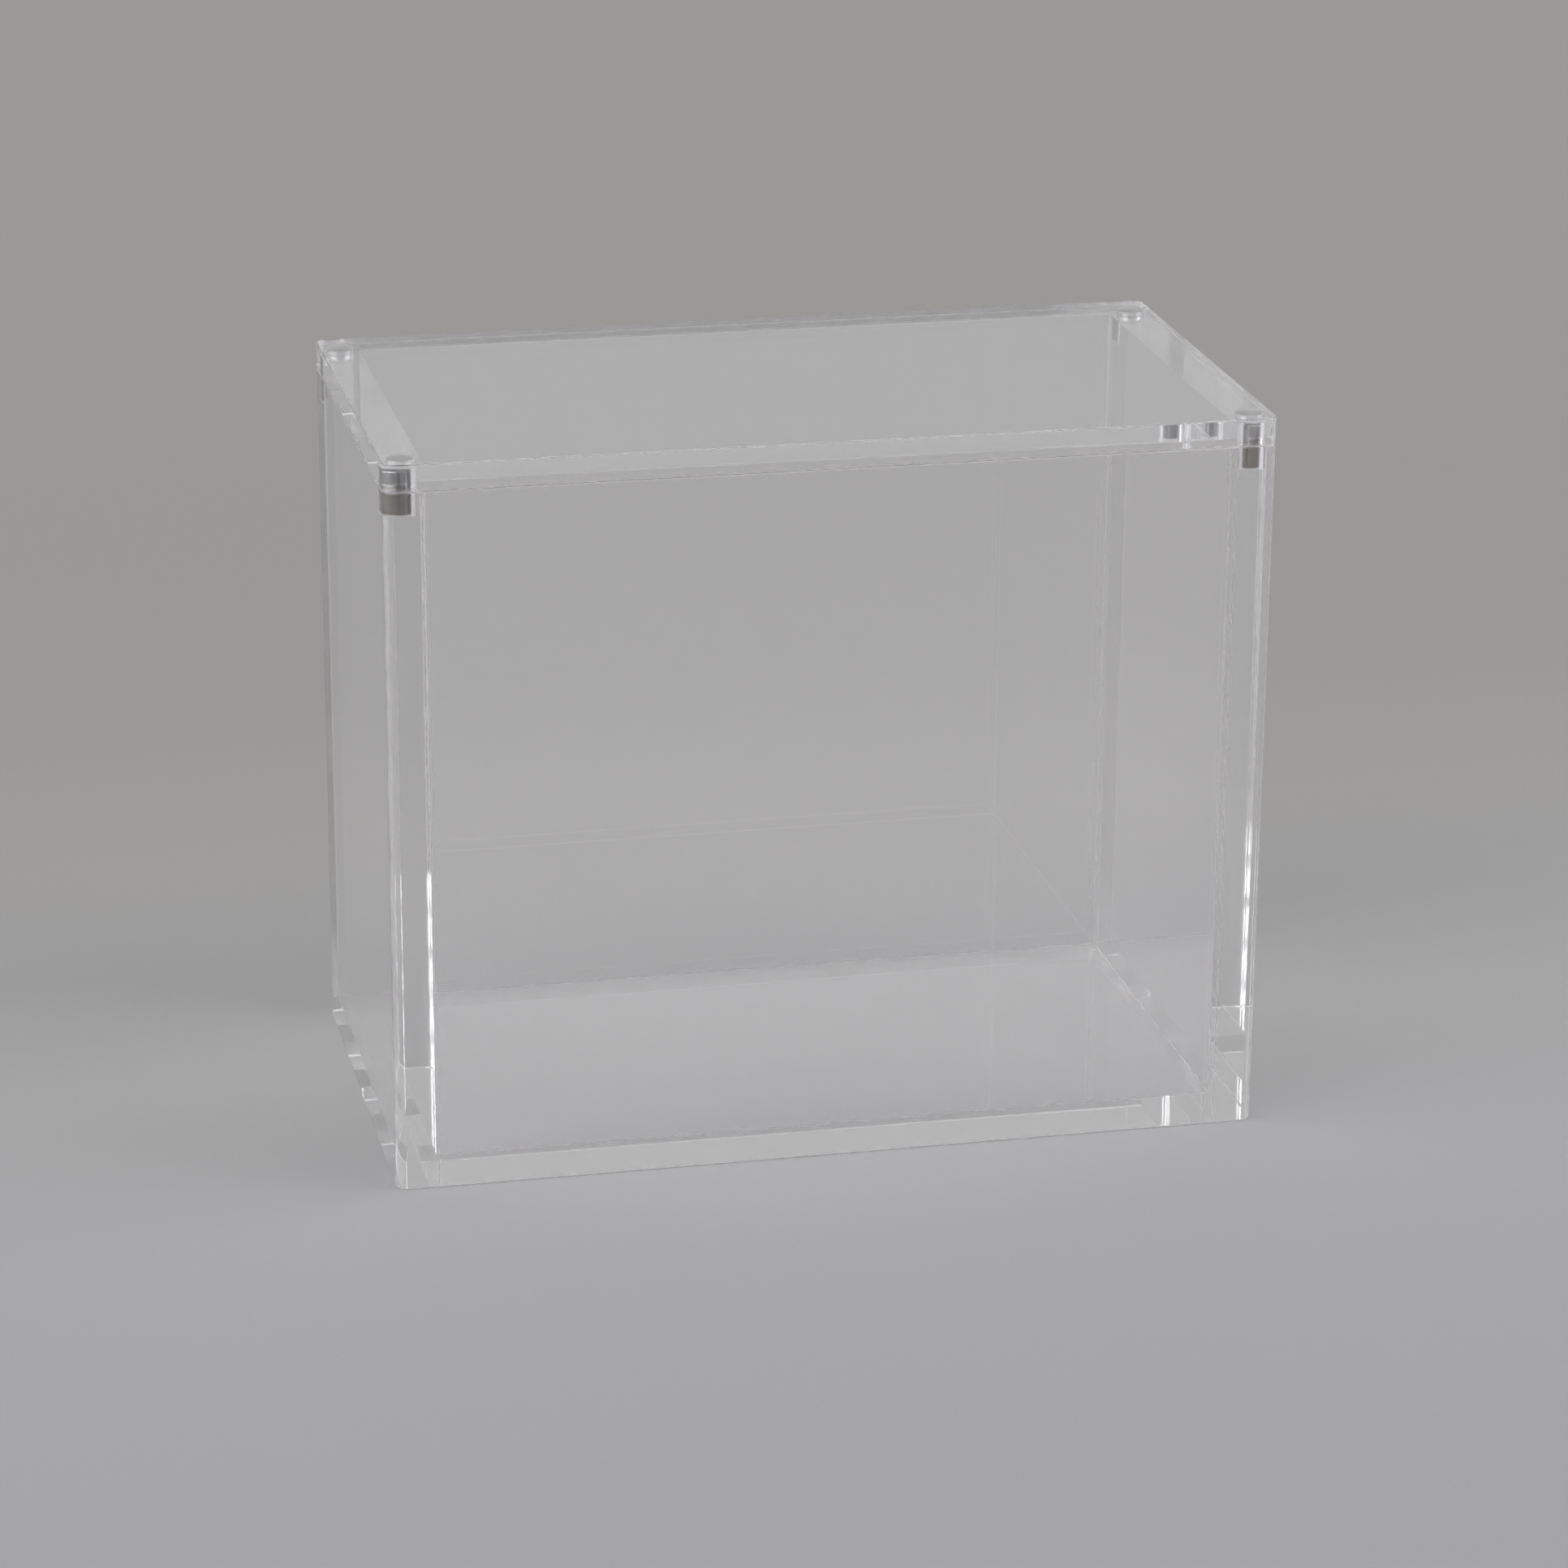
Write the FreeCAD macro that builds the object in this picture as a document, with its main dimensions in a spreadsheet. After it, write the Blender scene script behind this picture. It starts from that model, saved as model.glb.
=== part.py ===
import FreeCAD, Part
import os
import Sketcher

# Clear acrylic storage box with a lift-off lid held by magnets at its four corners.
# Millimetres. X runs along the width, Y from the front to the back, Z up.
# The origin is the middle of the underside, on the ground.

DRIVING_SIZES = [
    ("case_width", 210.0),
    ("case_depth", 115.2),
    ("wall_height", 170.4),
    ("side_gauge", 10.0),
    ("sheet_gauge", 6.4),
    ("lid_gauge", 6.4),
    ("corner_radius", 2.8),
    ("edge_break", 0.25),
    ("magnet_diameter", 6.35),
    ("box_magnet_height", 6.35),
    ("lid_magnet_height", 3.8),
    ("magnet_rim", 0.15),
    ("hole_clearance", 0.45),
    ("box_hole_spare", 0.3),
    ("lid_hole_spare", 0.8),
    ("magnet_proud", 0.15),
    ("magnet_inset", 8.0),
]

CORNERS = [
    ("front_left", -1, -1),
    ("front_right", 1, -1),
    ("back_left", -1, 1),
    ("back_right", 1, 1),
]

NEAR = 1e-4

doc = FreeCAD.newDocument("storage_box")
sheet = doc.addObject("Spreadsheet::Sheet", "Sizes")
for row, (alias, value) in enumerate(DRIVING_SIZES, start=1):
    sheet.set(f"A{row}", alias)
    sheet.set(f"B{row}", str(value))
    sheet.setAlias(f"B{row}", alias)
doc.recompute()

nodes = []


def new_body(name):
    body = doc.addObject("PartDesign::Body", name)
    body.Label = name
    nodes.append(body)
    return body


def place(body, x, y, z):
    for axis, formula in (("x", x), ("y", y), ("z", z)):
        body.setExpression(f"Placement.Base.{axis}", formula)


def sketch_on_ground(body, name, height=None):
    sketch = body.newObject("Sketcher::SketchObject", name)
    plane = next(item for item in body.Origin.OriginFeatures if item.Role == "XY_Plane")
    sketch.AttachmentSupport = [(plane, "")]
    sketch.MapMode = "FlatFace"
    if height is not None:
        sketch.setExpression("AttachmentOffset.Base.z", height)
    return sketch


def bind(sketch, constraint, label, formula):
    index = sketch.addConstraint(constraint)
    sketch.renameConstraint(index, label)
    sketch.setExpression(f"Constraints.{label}", formula)


# A rectangle centred on the sketch origin.
def centred_rectangle(sketch, wide, deep):
    start = [(-1, -1), (1, -1), (1, 1), (-1, 1)]
    for here, there in zip(start, start[1:] + start[:1]):
        low = FreeCAD.Vector(here[0], here[1], 0)
        high = FreeCAD.Vector(there[0], there[1], 0)
        sketch.addGeometry(Part.LineSegment(low, high))
    for side in range(4):
        sketch.addConstraint(Sketcher.Constraint("Coincident", side, 2, (side + 1) % 4, 1))
    for side in (0, 2):
        sketch.addConstraint(Sketcher.Constraint("Horizontal", side))
    for side in (1, 3):
        sketch.addConstraint(Sketcher.Constraint("Vertical", side))
    sketch.addConstraint(Sketcher.Constraint("Symmetric", 0, 1, 2, 1, -1, 1))
    bind(sketch, Sketcher.Constraint("DistanceX", 0, 1, 0, 2, 2), "wide", wide)
    bind(sketch, Sketcher.Constraint("DistanceY", 1, 1, 1, 2, 2), "deep", deep)


def pad_plate(body, wide, deep, thick):
    outline = sketch_on_ground(body, body.Name + "_outline")
    centred_rectangle(outline, wide, deep)
    pad = body.newObject("PartDesign::Pad", body.Name + "_pad")
    pad.Profile = outline
    pad.setExpression("Length", thick)
    doc.recompute()
    return pad


def edge_names(feature, wanted):
    box = feature.Shape.BoundBox
    return [f"Edge{i}" for i, edge in enumerate(feature.Shape.Edges, start=1) if wanted(edge, box)]


def upright(edge, box):
    size = edge.BoundBox
    return size.ZLength > max(size.XLength, size.YLength)


def level(edge, box):
    return edge.BoundBox.ZLength < NEAR


def at(value, limit):
    return abs(value - limit) < NEAR


def round_edges(body, feature, label, wanted, formula):
    fillet = body.newObject("PartDesign::Fillet", body.Name + label)
    fillet.Base = (feature, edge_names(feature, wanted))
    fillet.setExpression("Radius", formula)
    doc.recompute()
    return fillet


def break_edges(body, feature, wanted, formula):
    chamfer = body.newObject("PartDesign::Chamfer", body.Name + "_edge_break")
    chamfer.Base = (feature, edge_names(feature, wanted))
    chamfer.setExpression("Size", formula)
    doc.recompute()


# Blind flat-bottomed magnet holes, mirrored about the middle of the panel.
def magnet_holes(body, height, across, along, deep, upward):
    sketch = sketch_on_ground(body, body.Name + "_hole_centres", height)
    spots = [(-1, -1), (1, -1), (1, 1), (-1, 1)] if across else [(0, -1), (0, 1)]
    for x, y in spots:
        sketch.addGeometry(Part.Circle(FreeCAD.Vector(x, y, 0), FreeCAD.Vector(0, 0, 1), 0.5))
    last = len(spots) - 1
    for number in range(last):
        sketch.addConstraint(Sketcher.Constraint("Equal", number, last))
    if across:
        sketch.addConstraint(Sketcher.Constraint("Symmetric", 0, 3, 2, 3, -1, 1))
        sketch.addConstraint(Sketcher.Constraint("Vertical", 1, 3, 2, 3))
        sketch.addConstraint(Sketcher.Constraint("Vertical", 0, 3, 3, 3))
        sketch.addConstraint(Sketcher.Constraint("Horizontal", 0, 3, 1, 3))
        sketch.addConstraint(Sketcher.Constraint("Horizontal", 2, 3, 3, 3))
        bind(sketch, Sketcher.Constraint("DistanceX", 0, 3, 1, 3, 2), "across", across)
        bind(sketch, Sketcher.Constraint("DistanceY", 1, 3, 2, 3, 2), "along", along)
    else:
        sketch.addConstraint(Sketcher.Constraint("Symmetric", 0, 3, 1, 3, -1, 1))
        sketch.addConstraint(Sketcher.Constraint("PointOnObject", 0, 3, -2))
        bind(sketch, Sketcher.Constraint("DistanceY", 0, 3, 1, 3, 2), "along", along)
    hole_size = "Sizes.magnet_diameter + Sizes.hole_clearance"
    bind(sketch, Sketcher.Constraint("Diameter", last, 1.0), "hole_size", hole_size)
    pocket = body.newObject("PartDesign::Pocket", body.Name + "_magnet_holes")
    pocket.Profile = sketch
    pocket.Reversed = upward
    pocket.setExpression("Length", deep)
    doc.recompute()
    return pocket


HOLE_SPAN_X = "Sizes.case_width - Sizes.side_gauge"
HOLE_SPAN_Y = "Sizes.case_depth - 2 * Sizes.magnet_inset"
INNER_WIDTH = "Sizes.case_width - 2 * Sizes.side_gauge"
INNER_DEPTH = "Sizes.case_depth - 2 * Sizes.sheet_gauge"
BOX_HOLE_DEPTH = "Sizes.box_magnet_height + Sizes.box_hole_spare"
LID_HOLE_DEPTH = "Sizes.lid_magnet_height + Sizes.lid_hole_spare"


# Side panels run the full depth and height. Their outer upright edges are rounded over,
# and the thick top edge takes one magnet near each end.
def side_panel(name, side):
    body = new_body(name)
    pad = pad_plate(body, "Sizes.side_gauge", "Sizes.case_depth", "Sizes.wall_height")

    def outer_x(box):
        return box.XMax if side > 0 else box.XMin

    def outer_upright(edge, box):
        return upright(edge, box) and at(edge.CenterOfMass.x, outer_x(box))

    def rim(edge, box):
        size = edge.BoundBox
        inner = at(size.XMin, box.XMin + box.XMax - outer_x(box)) and size.XLength < NEAR
        return level(edge, box) and not inner

    rounded = round_edges(body, pad, "_round_over", outer_upright, "Sizes.corner_radius")
    break_edges(body, rounded, rim, "Sizes.edge_break")
    magnet_holes(body, "Sizes.wall_height", None, HOLE_SPAN_Y, BOX_HOLE_DEPTH, False)
    place(body, f"{side} * (Sizes.case_width - Sizes.side_gauge) / 2", "0", "0")


side_panel("left_panel", -1)
side_panel("right_panel", 1)


# Front and back panels stand between the side panels, from the ground to the rim.
def end_panel(name, side):
    body = new_body(name)
    pad = pad_plate(body, INNER_WIDTH, "Sizes.sheet_gauge", "Sizes.wall_height")

    def rim(edge, box):
        size = edge.BoundBox
        outer_y = box.YMax if side > 0 else box.YMin
        long_edge = size.XLength > size.YLength and size.ZLength < NEAR
        on_top = at(size.ZMax, box.ZMax)
        return long_edge and (on_top or at(size.YMin, outer_y))

    break_edges(body, pad, rim, "Sizes.edge_break")
    place(body, "0", f"{side} * (Sizes.case_depth - Sizes.sheet_gauge) / 2", "0")


end_panel("front_panel", -1)
end_panel("back_panel", 1)

# The base is let in between all four walls, its underside level with theirs.
base = new_body("base_panel")
pad_plate(base, INNER_WIDTH, INNER_DEPTH, "Sizes.sheet_gauge")

# The lid is a flat plate with the same outline as the box, rounded at its four corners.
lid = new_body("lid_panel")
lid_pad = pad_plate(lid, "Sizes.case_width", "Sizes.case_depth", "Sizes.lid_gauge")
lid_round = round_edges(lid, lid_pad, "_round_over", upright, "Sizes.corner_radius")
break_edges(lid, lid_round, level, "Sizes.edge_break")
magnet_holes(lid, None, HOLE_SPAN_X, HOLE_SPAN_Y, LID_HOLE_DEPTH, True)
place(lid, "0", "0", "Sizes.wall_height + Sizes.magnet_proud")


# Disc magnets with bevelled rims. The lower four are the taller ones and stand a hair proud of
# the walls. The lid's four end level with its underside, so each pair meets face to face.
def disc_magnet(name, side_x, side_y, tall, foot):
    body = new_body(name)
    outline = sketch_on_ground(body, name + "_outline")
    outline.addGeometry(Part.Circle(FreeCAD.Vector(0, 0, 0), FreeCAD.Vector(0, 0, 1), 1))
    outline.addConstraint(Sketcher.Constraint("Coincident", 0, 3, -1, 1))
    size = Sketcher.Constraint("Diameter", 0, 2.0)
    bind(outline, size, "disc_size", "Sizes.magnet_diameter")
    pad = body.newObject("PartDesign::Pad", name + "_pad")
    pad.Profile = outline
    pad.setExpression("Length", tall)
    doc.recompute()
    break_edges(body, pad, level, "Sizes.magnet_rim")
    place(body, f"{side_x} * ({HOLE_SPAN_X}) / 2", f"{side_y} * ({HOLE_SPAN_Y}) / 2", foot)


BOX_MAGNET_FOOT = "Sizes.wall_height + Sizes.magnet_proud - Sizes.box_magnet_height"
LID_MAGNET_FOOT = "Sizes.wall_height + Sizes.magnet_proud"
for corner, corner_x, corner_y in CORNERS:
    disc_magnet("box_magnet_" + corner, corner_x, corner_y, "Sizes.box_magnet_height", BOX_MAGNET_FOOT)
    disc_magnet("lid_magnet_" + corner, corner_x, corner_y, "Sizes.lid_magnet_height", LID_MAGNET_FOOT)

doc.recompute()
for item in doc.Objects:
    faults = [word for word in item.State if word in ("Invalid", "Error")]
    if faults:
        raise RuntimeError(f"{item.Label} is {faults}")
os.makedirs("parts", exist_ok=True)
for body in nodes:
    if body.Shape.isNull() or not body.Shape.isValid():
        raise RuntimeError(f"{body.Label} has no sound shape")
    body.Shape.exportStep(f"parts/{body.Label}.step")
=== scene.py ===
from math import cos, pi, radians, sin

import bpy
from mathutils import Matrix, Vector


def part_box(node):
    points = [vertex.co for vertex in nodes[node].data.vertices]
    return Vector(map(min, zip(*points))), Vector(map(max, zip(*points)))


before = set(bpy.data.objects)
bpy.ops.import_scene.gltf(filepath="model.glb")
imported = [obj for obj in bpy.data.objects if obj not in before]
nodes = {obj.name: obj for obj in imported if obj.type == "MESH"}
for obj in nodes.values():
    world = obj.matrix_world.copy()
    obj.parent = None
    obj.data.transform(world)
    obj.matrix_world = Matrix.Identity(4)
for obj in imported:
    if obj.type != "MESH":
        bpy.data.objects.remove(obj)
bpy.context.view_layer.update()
scene = bpy.context.scene

# Sizes in metres, as the solids have them
INNER_HALF_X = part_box("front_panel")[1].x
INNER_HALF_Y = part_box("base_panel")[1].y
BASE_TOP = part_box("base_panel")[1].z
CASE_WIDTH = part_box("lid_panel")[1].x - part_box("lid_panel")[0].x
CASE_HALF_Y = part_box("lid_panel")[1].y
MAGNET_LOW, MAGNET_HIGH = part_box("lid_magnet_back_right")
MAGNET_X = (MAGNET_LOW.x + MAGNET_HIGH.x) / 2
MAGNET_Y = (MAGNET_LOW.y + MAGNET_HIGH.y) / 2
HOLE_CLEARANCE = 0.000225
HOLE_RADIUS = (MAGNET_HIGH.x - MAGNET_LOW.x) / 2 + HOLE_CLEARANCE

# The flat ends of the holes lie inside this radius, and those in the lid below this height
HOLE_END_RADIUS = HOLE_RADIUS - 5e-5
LID_HOLES_TOP = MAGNET_HIGH.z + 0.001

# How near a point counts as on a flat face, and as on the round wall of a hole
ON_FACE = 1e-5
ON_HOLE_WALL = 3e-5

# Cement lines, and the roughness of all that isn't polished
BEAD_RADIUS = 0.0003
HAIRLINE_RADIUS = 0.00012
CEMENT_ROUGHNESS = 0.45
SCRAPED_ROUGHNESS = 0.35
HOLE_WALL_ROUGHNESS = 0.18
HOLE_END_ROUGHNESS = 0.4
SCRAPED_LEAN = cos(pi / 4)
SCRAPED_LEAN_SPAN = 0.1

# Noise, whose values keep to the middle of the range
NOISE_DETAIL = 3.0
NOISE_LOW = 0.35
NOISE_HIGH = 0.65

# Acrylic. The part of the light that isn't sent through is scattered by dust.
ACRYLIC_IOR = 1.49
HEAD_ON_MIRROR = ((ACRYLIC_IOR - 1) / (ACRYLIC_IOR + 1)) ** 2
GLANCE_POWER = 5.0
EVEN_BLEND = 0.5
SENT_THROUGH = 0.942
TINT_SCALE = 9.0
TINT_LOW = (0.997, 0.992, 0.995, 1.0)
TINT_HIGH = (1.0, 0.9955, 0.9985, 1.0)
POLISH_SCALE = 60.0
POLISH_ROUGHNESS = 0.001

# Nickel plate, its colour painted with dark and pale upright stripes: a painted reflection
STREAK_SCALE = 480.0
STREAK_STRETCH = (1.0, 1.0, 0.02)
MARK_SCALE = 1500.0
MARK_ROUGHNESS = (0.05, 0.10)
LID_NICKEL_REFLECTION_DARK = (0.02, 0.02, 0.02, 1.0)
LID_NICKEL_REFLECTION_PALE = (0.60, 0.59, 0.58, 1.0)
# Painted shade: the box magnets get a darker, warmer copy of the same nickel
BOX_NICKEL_SHADED_REFLECTION_DARK = (0.06, 0.05, 0.038, 1.0)
BOX_NICKEL_SHADED_REFLECTION_PALE = (0.37, 0.315, 0.235, 1.0)

# Floor, in metres from the middle of the box
FLOOR_HALF = 6.0
FLOOR_DROP = -0.0002
FLOOR_ROUGHNESS = 0.9
FLOOR_SHEEN = 0.1
# Ends of the painted shade on the paper, towards the camera and far behind
NEAR_END = -0.6
FAR_END = 1.3
PAPER_GRAIN_SCALE = 900.0
PAPER_GRAIN_LOW = 0.985
# Painted light at the sides: the floor turns paler and bluish from the paper's edge to the side light's
# edge
PAPER_EDGE = 0.38
SIDE_LIGHT_EDGE = 0.80
SIDE_LIGHT_COLOUR = (0.72, 0.71, 0.76, 1.0)

# Lamps
LAMP_TURN = radians(60)
LAMP_RISE = radians(42)
LAMP_DISTANCE = 6.0
LAMP_WIDE = 4.2
LAMP_TALL = 4.8
LEFT_POWER = 200.0
RIGHT_POWER = 210.0

# Camera, from the perspective of the box's edges
ELEVATION = radians(19.451)
AZIMUTH = radians(-12.643)
ROLL = radians(0.3947)
DISTANCE = 6.04087 * CASE_WIDTH
ASIDE = 0.004545 * CASE_WIDTH
RISE = 0.33331 * CASE_WIDTH
FOCAL_PIXELS = 6250.65
FRAME_PIXELS = 1932
SENSOR_WIDTH = 36.0
CLIP_START = 0.01

# Light has to pass many faces of the sheets before it gets out
BOUNCES = 48
TRANSPARENT_BOUNCES = 96

BOX_PANELS = ["left_panel", "right_panel", "front_panel", "back_panel", "base_panel"]
CORNERS = ["front_left", "front_right", "back_left", "back_right"]


def new_material(name):
    material = bpy.data.materials.new(name)
    material.use_nodes = True
    tree = material.node_tree
    tree.nodes.clear()
    output = tree.nodes.new("ShaderNodeOutputMaterial")
    return material, tree, output


def noise(tree, scale):
    place = tree.nodes.new("ShaderNodeTexCoord")
    texture = tree.nodes.new("ShaderNodeTexNoise")
    texture.inputs["Scale"].default_value = scale
    texture.inputs["Detail"].default_value = NOISE_DETAIL
    tree.links.new(place.outputs["Object"], texture.inputs["Vector"])
    return texture


def ramp(tree, source, low, high):
    colours = tree.nodes.new("ShaderNodeValToRGB")
    colours.color_ramp.elements[0].position = NOISE_LOW
    colours.color_ramp.elements[0].color = low
    colours.color_ramp.elements[1].position = NOISE_HIGH
    colours.color_ramp.elements[1].color = high
    tree.links.new(source, colours.inputs["Fac"])
    return colours.outputs["Color"]


def banded_ramp(tree, source, stops):
    colours = tree.nodes.new("ShaderNodeValToRGB")
    band = colours.color_ramp
    while len(band.elements) < len(stops):
        band.elements.new(1.0)
    for element, (where, value, tone) in zip(band.elements, stops):
        element.position = where
        element.color = (*(value * tone), 1.0)
    tree.links.new(source, colours.inputs["Fac"])
    return colours.outputs["Color"]


def grey(value):
    return (value, value, value, 1.0)


def calculate(tree, operation, first, second=None, third=None):
    node = tree.nodes.new("ShaderNodeMath")
    node.operation = operation
    for slot, value in enumerate((first, second, third)):
        if value is None:
            continue
        if isinstance(value, (int, float)):
            node.inputs[slot].default_value = value
        else:
            tree.links.new(value, node.inputs[slot])
    return node.outputs[0]


# Polished acrylic with a faint film of dust. Lamps shine straight through it, less what it mirrors.
def acrylic_shader(tree, joint, frosted):
    shader = tree.nodes.new("ShaderNodeBsdfPrincipled")
    shader.inputs["Transmission Weight"].default_value = SENT_THROUGH
    shader.inputs["IOR"].default_value = ACRYLIC_IOR
    cloud = noise(tree, TINT_SCALE)
    tint = ramp(tree, cloud.outputs["Fac"], TINT_LOW, TINT_HIGH)
    tree.links.new(tint, shader.inputs["Base Color"])
    haze = noise(tree, POLISH_SCALE)
    gloss = ramp(tree, haze.outputs["Fac"], grey(0.0), grey(POLISH_ROUGHNESS))
    tree.links.new(calculate(tree, "MAXIMUM", gloss, frosted), shader.inputs["Roughness"])
    path = tree.nodes.new("ShaderNodeLightPath")
    straight = calculate(tree, "MAXIMUM", path.outputs["Is Shadow Ray"], path.outputs["Is Diffuse Ray"])
    straight = calculate(tree, "MAXIMUM", straight, joint)
    slant = tree.nodes.new("ShaderNodeLayerWeight")
    slant.inputs["Blend"].default_value = EVEN_BLEND
    glance = calculate(tree, "POWER", slant.outputs["Facing"], GLANCE_POWER)
    mirrored = calculate(tree, "MULTIPLY_ADD", glance, 1 - HEAD_ON_MIRROR, HEAD_ON_MIRROR)
    unjoined = calculate(tree, "SUBTRACT", 1.0, joint)
    through = tree.nodes.new("ShaderNodeBsdfTransparent")
    mirror = tree.nodes.new("ShaderNodeBsdfGlossy")
    mirror.inputs["Roughness"].default_value = 0.0
    sheet = tree.nodes.new("ShaderNodeMixShader")
    tree.links.new(calculate(tree, "MULTIPLY", mirrored, unjoined), sheet.inputs["Fac"])
    tree.links.new(through.outputs["BSDF"], sheet.inputs[1])
    tree.links.new(mirror.outputs["BSDF"], sheet.inputs[2])
    mix = tree.nodes.new("ShaderNodeMixShader")
    tree.links.new(straight, mix.inputs["Fac"])
    tree.links.new(shader.outputs["BSDF"], mix.inputs[1])
    tree.links.new(sheet.outputs["Shader"], mix.inputs[2])
    return mix


# Where a point of a piece lies. The box is the same on both sides, so x and y lose their signs.
def position(tree):
    place = tree.nodes.new("ShaderNodeTexCoord")
    axes = tree.nodes.new("ShaderNodeSeparateXYZ")
    tree.links.new(place.outputs["Object"], axes.inputs[0])
    x = calculate(tree, "ABSOLUTE", axes.outputs["X"])
    y = calculate(tree, "ABSOLUTE", axes.outputs["Y"])
    return x, y, axes.outputs["Z"]


def distance(tree, first, second):
    square = calculate(tree, "MULTIPLY_ADD", first, first, calculate(tree, "MULTIPLY", second, second))
    return calculate(tree, "SQRT", square)


# Cement dries to a thin frosted bead along the inside corners, and to a hairline outside
def joint_line(tree, x, y, z):
    from_side = calculate(tree, "SUBTRACT", x, INNER_HALF_X)
    from_end = calculate(tree, "SUBTRACT", y, INNER_HALF_Y)
    from_base = calculate(tree, "SUBTRACT", z, BASE_TOP)
    from_face = calculate(tree, "SUBTRACT", y, CASE_HALF_Y)
    near_side = distance(tree, from_side, from_base)
    near_end = distance(tree, from_end, from_base)
    near_post = distance(tree, from_side, from_end)
    nearest = calculate(tree, "MINIMUM", calculate(tree, "MINIMUM", near_side, near_end), near_post)
    bead = calculate(tree, "LESS_THAN", nearest, BEAD_RADIUS)
    hairline = calculate(tree, "LESS_THAN", distance(tree, from_side, from_face), HAIRLINE_RADIUS)
    return calculate(tree, "MULTIPLY", calculate(tree, "MAXIMUM", bead, hairline), CEMENT_ROUGHNESS)


# Scraped edges are left satin. They are the only faces that lean at half a right angle.
def scraped_edge(tree):
    facing = tree.nodes.new("ShaderNodeTexCoord")
    lean = tree.nodes.new("ShaderNodeSeparateXYZ")
    tree.links.new(facing.outputs["Normal"], lean.inputs[0])
    upward = calculate(tree, "ABSOLUTE", lean.outputs["Z"])
    edge = calculate(tree, "COMPARE", upward, SCRAPED_LEAN, SCRAPED_LEAN_SPAN)
    return calculate(tree, "MULTIPLY", edge, SCRAPED_ROUGHNESS)


# The drill leaves the round walls and the flat ends of the magnet holes a little dull
def drilled_hole(tree, x, y, z):
    aside = calculate(tree, "SUBTRACT", x, MAGNET_X)
    along = calculate(tree, "SUBTRACT", y, MAGNET_Y)
    off_axis = distance(tree, aside, along)
    wall = calculate(tree, "COMPARE", off_axis, HOLE_RADIUS, ON_HOLE_WALL)
    within = calculate(tree, "LESS_THAN", off_axis, HOLE_END_RADIUS)
    above_base = calculate(tree, "GREATER_THAN", z, BASE_TOP)
    below_top = calculate(tree, "LESS_THAN", z, LID_HOLES_TOP)
    end = calculate(tree, "MULTIPLY", within, calculate(tree, "MULTIPLY", above_base, below_top))
    dull_wall = calculate(tree, "MULTIPLY", wall, HOLE_WALL_ROUGHNESS)
    dull_end = calculate(tree, "MULTIPLY", end, HOLE_END_ROUGHNESS)
    return calculate(tree, "MAXIMUM", dull_wall, dull_end)


def lid_acrylic(name):
    material, tree, output = new_material(name)
    x, y, z = position(tree)
    dull = calculate(tree, "MAXIMUM", scraped_edge(tree), drilled_hole(tree, x, y, z))
    shader = acrylic_shader(tree, 0.0, dull)
    tree.links.new(shader.outputs["Shader"], output.inputs["Surface"])
    return material


# Sheet whose cemented faces have no surface of their own: light goes straight through the joint
def bonded_acrylic(name):
    material, tree, output = new_material(name)
    x, y, z = position(tree)
    on_side = calculate(tree, "COMPARE", x, INNER_HALF_X, ON_FACE)
    on_end = calculate(tree, "COMPARE", y, INNER_HALF_Y, ON_FACE)
    low = calculate(tree, "LESS_THAN", z, BASE_TOP)
    past_end = calculate(tree, "GREATER_THAN", y, INNER_HALF_Y)
    between = calculate(tree, "LESS_THAN", x, INNER_HALF_X)
    side_joint = calculate(tree, "MULTIPLY", on_side, calculate(tree, "MAXIMUM", past_end, low))
    end_joint = calculate(tree, "MULTIPLY", on_end, calculate(tree, "MULTIPLY", between, low))
    joint = calculate(tree, "MAXIMUM", side_joint, end_joint)
    line = joint_line(tree, x, y, z)
    dull = calculate(tree, "MAXIMUM", scraped_edge(tree), drilled_hole(tree, x, y, z))
    shader = acrylic_shader(tree, joint, calculate(tree, "MAXIMUM", line, dull))
    tree.links.new(shader.outputs["Shader"], output.inputs["Surface"])
    return material


# Nickel plate whose colour is painted with dark and pale upright stripes, a painted reflection, and
# with faint handling marks
def nickel_plate(name, dark, light):
    material, tree, output = new_material(name)
    shader = tree.nodes.new("ShaderNodeBsdfPrincipled")
    shader.inputs["Metallic"].default_value = 1.0
    place = tree.nodes.new("ShaderNodeTexCoord")
    drawn = tree.nodes.new("ShaderNodeVectorMath")
    drawn.operation = "MULTIPLY"
    drawn.inputs[1].default_value = STREAK_STRETCH
    tree.links.new(place.outputs["Object"], drawn.inputs[0])
    streaks = noise(tree, STREAK_SCALE)
    tree.links.new(drawn.outputs["Vector"], streaks.inputs["Vector"])
    # Painted reflection: the streaks turn the metal colour from dark to pale
    colour = ramp(tree, streaks.outputs["Fac"], dark, light)
    tree.links.new(colour, shader.inputs["Base Color"])
    marks = noise(tree, MARK_SCALE)
    smooth, rubbed = MARK_ROUGHNESS
    rough = ramp(tree, marks.outputs["Fac"], grey(smooth), grey(rubbed))
    tree.links.new(rough, shader.inputs["Roughness"])
    tree.links.new(shader.outputs["BSDF"], output.inputs["Surface"])
    return material


def set_material(names, material):
    for name in names:
        nodes[name].material_slots[0].material = material


set_material(BOX_PANELS, bonded_acrylic("acrylic_bonded_box"))
set_material(["lid_panel"], lid_acrylic("acrylic_lid"))
lid_nickel = nickel_plate("nickel_plate_lid", LID_NICKEL_REFLECTION_DARK, LID_NICKEL_REFLECTION_PALE)
set_material([f"lid_magnet_{corner}" for corner in CORNERS], lid_nickel)
# Painted shade: a darker, warmer copy of the nickel for the box magnets
shaded_box_nickel = nickel_plate("nickel_plate_box_painted_shade", BOX_NICKEL_SHADED_REFLECTION_DARK, BOX_NICKEL_SHADED_REFLECTION_PALE)
set_material([f"box_magnet_{corner}" for corner in CORNERS], shaded_box_nickel)
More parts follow.
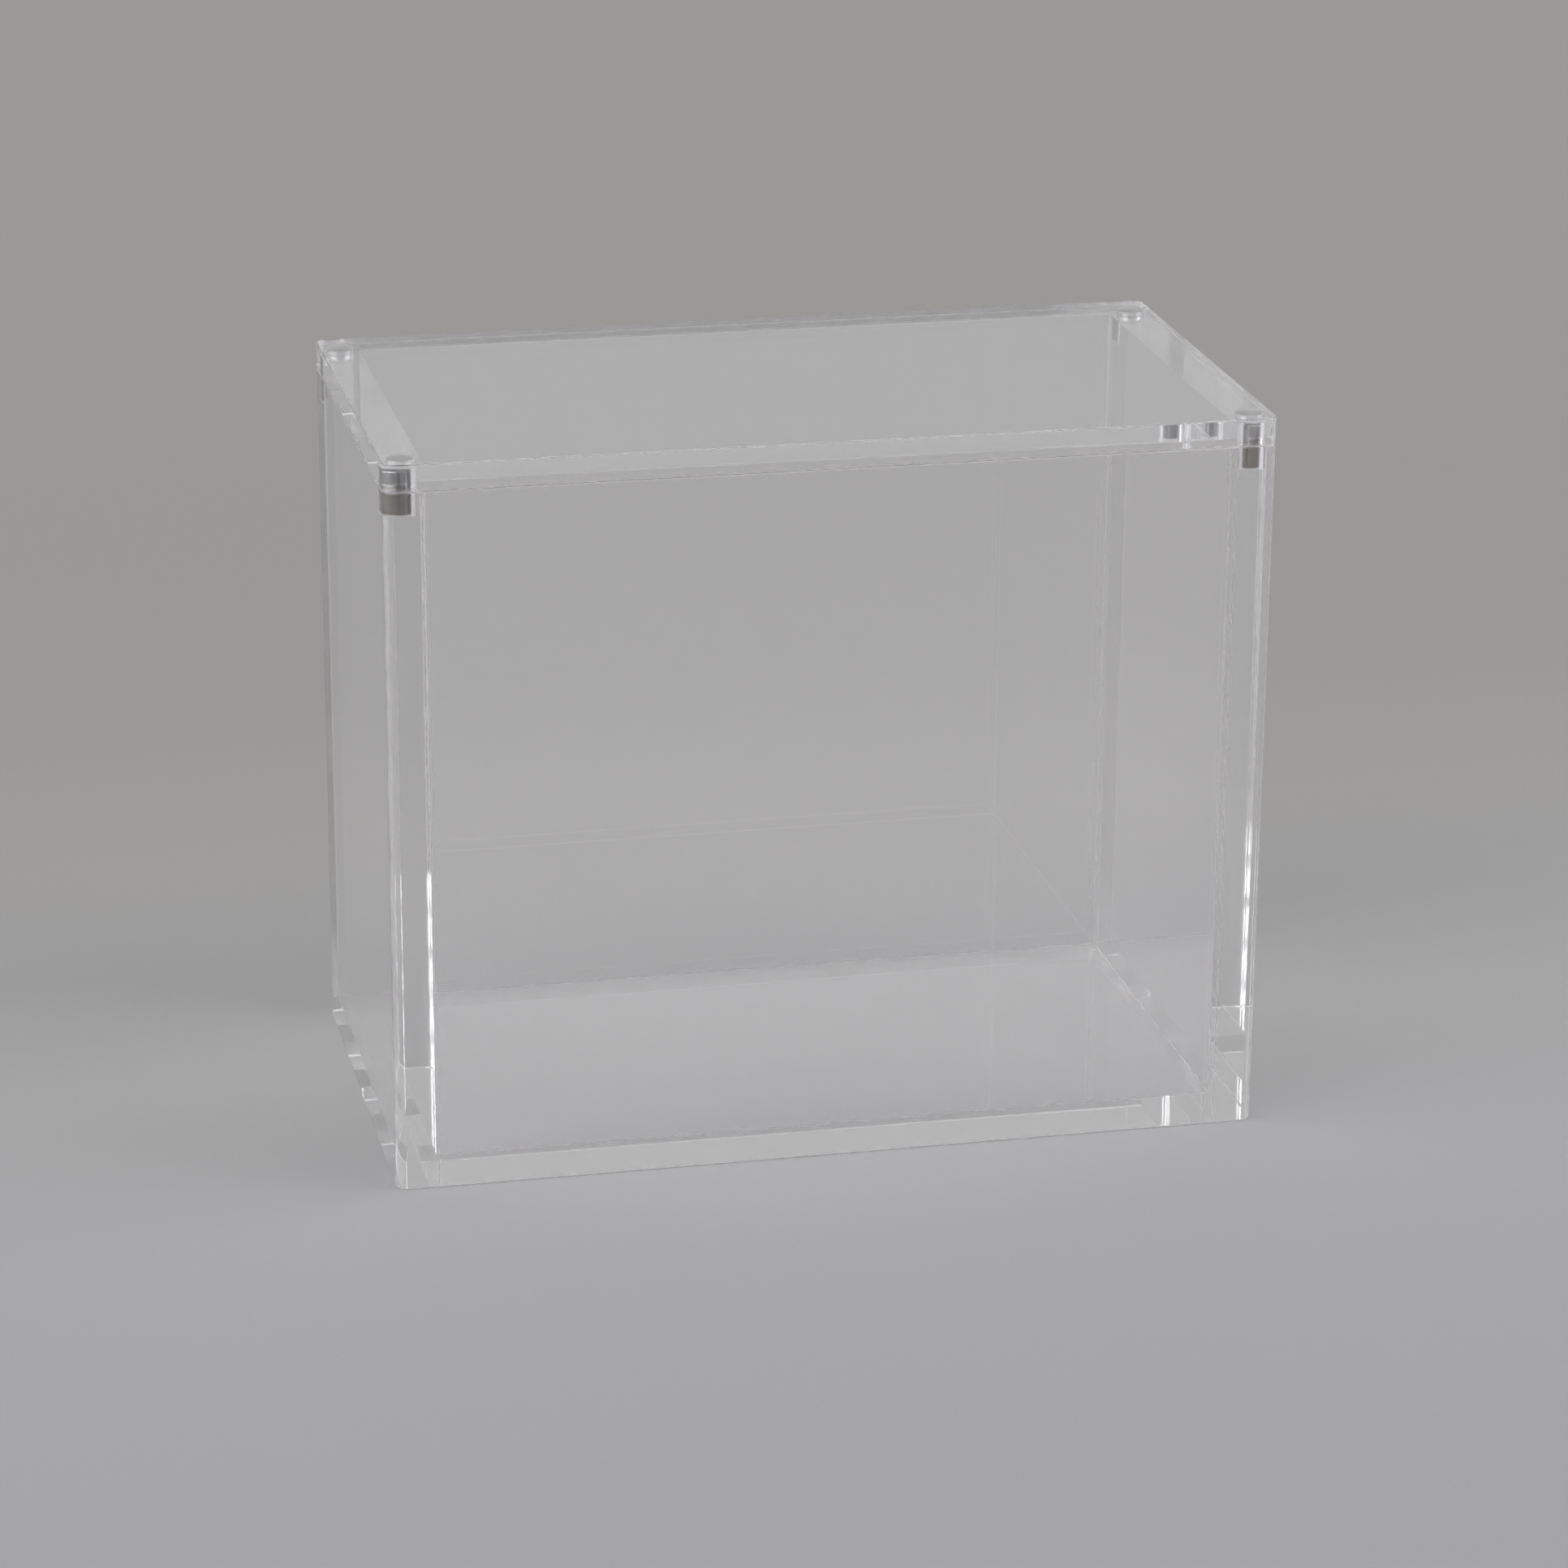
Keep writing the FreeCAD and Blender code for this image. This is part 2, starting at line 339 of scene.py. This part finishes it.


# Grey paper with painted shade: darkest towards the camera, lightest under the box, a little darker
# behind the box and lighter again far behind; bluish in front, warmer behind
def paper_with_painted_shade(tree, y):
    depth = tree.nodes.new("ShaderNodeMapRange")
    depth.inputs["From Min"].default_value = NEAR_END
    depth.inputs["From Max"].default_value = FAR_END
    tree.links.new(y, depth.inputs["Value"])
    near_tone = Vector((1.003, 1.0, 1.026))
    far_tone = Vector((1.016, 1.0, 0.974))
    mid_tone = (near_tone + far_tone) / 2
    # Painted shade: how light the paper is painted at each distance from the middle of the box
    shades = [
        (NEAR_END, 0.25, near_tone),
        (-0.3, 0.345, near_tone),
        (-0.1, 0.365, near_tone),
        (0.015, 0.372, mid_tone),
        (0.09, 0.340, mid_tone),
        (0.17, 0.336, far_tone),
        (0.32, 0.311, far_tone),
        (0.5, 0.315, far_tone),
        (FAR_END, 0.355, far_tone),
    ]
    stops = [((place - NEAR_END) / (FAR_END - NEAR_END), value, tone) for place, value, tone in shades]
    shade = banded_ramp(tree, depth.outputs["Result"], stops)
    grain = noise(tree, PAPER_GRAIN_SCALE)
    fibre = ramp(tree, grain.outputs["Fac"], grey(PAPER_GRAIN_LOW), grey(1.0))
    blend = tree.nodes.new("ShaderNodeMix")
    blend.data_type = "RGBA"
    blend.blend_type = "MULTIPLY"
    blend.inputs["Factor"].default_value = 1.0
    tree.links.new(shade, blend.inputs["A"])
    tree.links.new(fibre, blend.inputs["B"])
    return blend.outputs["Result"]


# Painted light: far to the left and the right of the box the paper gives way to a paler, bluish floor,
# which the box mirrors as bright sides
def paint_side_light(tree, x, y, paper):
    across = calculate(tree, "MULTIPLY", x, cos(AZIMUTH))
    across = calculate(tree, "MULTIPLY_ADD", y, sin(AZIMUTH), across)
    past_paper = tree.nodes.new("ShaderNodeMapRange")
    past_paper.interpolation_type = "SMOOTHSTEP"
    past_paper.inputs["From Min"].default_value = PAPER_EDGE
    past_paper.inputs["From Max"].default_value = SIDE_LIGHT_EDGE
    tree.links.new(calculate(tree, "ABSOLUTE", across), past_paper.inputs["Value"])
    lit_sides = tree.nodes.new("ShaderNodeMix")
    lit_sides.data_type = "RGBA"
    lit_sides.inputs["B"].default_value = SIDE_LIGHT_COLOUR
    tree.links.new(past_paper.outputs["Result"], lit_sides.inputs["Factor"])
    tree.links.new(paper, lit_sides.inputs["A"])
    return lit_sides.outputs["Result"]


# The floor lies just under the box
def floor():
    mesh = bpy.data.meshes.new("studio_floor")
    signs = [(-1, -1), (1, -1), (1, 1), (-1, 1)]
    corners = [(x * FLOOR_HALF, y * FLOOR_HALF, FLOOR_DROP) for x, y in signs]
    mesh.from_pydata(corners, [], [(0, 1, 2, 3)])
    plane = bpy.data.objects.new("studio_floor", mesh)
    scene.collection.objects.link(plane)
    material, tree, output = new_material("grey_paper_painted_shade")
    shader = tree.nodes.new("ShaderNodeBsdfPrincipled")
    shader.inputs["Roughness"].default_value = FLOOR_ROUGHNESS
    shader.inputs["Specular IOR Level"].default_value = FLOOR_SHEEN
    place = tree.nodes.new("ShaderNodeTexCoord")
    axes = tree.nodes.new("ShaderNodeSeparateXYZ")
    tree.links.new(place.outputs["Object"], axes.inputs[0])
    paper = paper_with_painted_shade(tree, axes.outputs["Y"])
    colour = paint_side_light(tree, axes.outputs["X"], axes.outputs["Y"], paper)
    tree.links.new(colour, shader.inputs["Base Color"])
    tree.links.new(shader.outputs["BSDF"], output.inputs["Surface"])
    mesh.materials.append(material)


floor()


# Two tall softboxes stand to the left and the right, a little in front of the box
def softbox(name, turn, power):
    flat = cos(LAMP_RISE) * LAMP_DISTANCE
    place = Vector((sin(turn) * flat, -cos(turn) * flat, sin(LAMP_RISE) * LAMP_DISTANCE))
    data = bpy.data.lights.new(name, "AREA")
    data.shape = "RECTANGLE"
    data.size = LAMP_WIDE
    data.size_y = LAMP_TALL
    data.energy = power
    lamp = bpy.data.objects.new(name, data)
    lamp.location = place
    lamp.rotation_euler = (-place).to_track_quat("-Z", "Y").to_euler()
    scene.collection.objects.link(lamp)


softbox("softbox_left", -LAMP_TURN, LEFT_POWER)
softbox("softbox_right", LAMP_TURN, RIGHT_POWER)


# The room is grey, light at the sides, dark in front with a pale gap beside the camera.
# A stop's place is a share of the turn round the box, 0.5 for the front and 0 and 1 for the back.
def room():
    world = bpy.data.worlds.new("studio")
    scene.world = world
    world.use_nodes = True
    tree = world.node_tree
    tree.nodes.clear()
    heading = tree.nodes.new("ShaderNodeTexCoord")
    compass = tree.nodes.new("ShaderNodeSeparateXYZ")
    tree.links.new(heading.outputs["Generated"], compass.inputs[0])
    backward = calculate(tree, "MULTIPLY", compass.outputs["Y"], -1.0)
    turn = calculate(tree, "ARCTAN2", compass.outputs["X"], backward)
    share = calculate(tree, "MULTIPLY_ADD", turn, 0.5 / pi, 0.5)
    plain = Vector((1.0, 1.0, 1.0))
    pale = Vector((0.985, 0.978, 1.03))
    stops = [
        (0.0, 0.375, plain),
        (0.18, 0.385, plain),
        (0.22, 0.45, pale),
        (0.30, 0.45, pale),
        (0.31, 1.0, pale),
        (0.345, 1.0, pale),
        (0.355, 0.45, pale),
        (0.38, 0.45, pale),
        (0.42, 0.08, plain),
        (0.475, 0.06, plain),
        (0.485, 0.45, pale),
        (0.515, 0.45, pale),
        (0.525, 0.04, plain),
        (0.61, 0.04, plain),
        (0.635, 0.45, pale),
        (0.65, 0.45, pale),
        (0.66, 1.0, pale),
        (0.695, 1.0, pale),
        (0.705, 0.45, pale),
        (0.78, 0.45, pale),
        (0.82, 0.385, plain),
        (1.0, 0.375, plain),
    ]
    background = tree.nodes.new("ShaderNodeBackground")
    tree.links.new(banded_ramp(tree, share, stops), background.inputs["Color"])
    output = tree.nodes.new("ShaderNodeOutputWorld")
    tree.links.new(background.outputs["Background"], output.inputs["Surface"])


room()

back = Vector((sin(AZIMUTH) * cos(ELEVATION), -cos(AZIMUTH) * cos(ELEVATION), sin(ELEVATION)))
right = Vector((0, 0, 1)).cross(back).normalized()
up = back.cross(right)
right, up = cos(ROLL) * right + sin(ROLL) * up, -sin(ROLL) * right + cos(ROLL) * up
eye = back * DISTANCE + right * ASIDE + up * RISE
lens = bpy.data.cameras.new("camera")
lens.sensor_width = SENSOR_WIDTH
lens.lens = FOCAL_PIXELS / FRAME_PIXELS * SENSOR_WIDTH
lens.clip_start = CLIP_START
camera = bpy.data.objects.new("camera", lens)
turned = Matrix((right, up, back)).transposed().to_4x4()
camera.matrix_world = Matrix.Translation(eye) @ turned
scene.collection.objects.link(camera)
scene.camera = camera

scene.view_settings.view_transform = "Standard"
scene.cycles.blur_glossy = 0.0
scene.cycles.caustics_refractive = False
scene.cycles.max_bounces = BOUNCES
scene.cycles.transmission_bounces = BOUNCES
scene.cycles.glossy_bounces = BOUNCES
scene.cycles.transparent_max_bounces = TRANSPARENT_BOUNCES
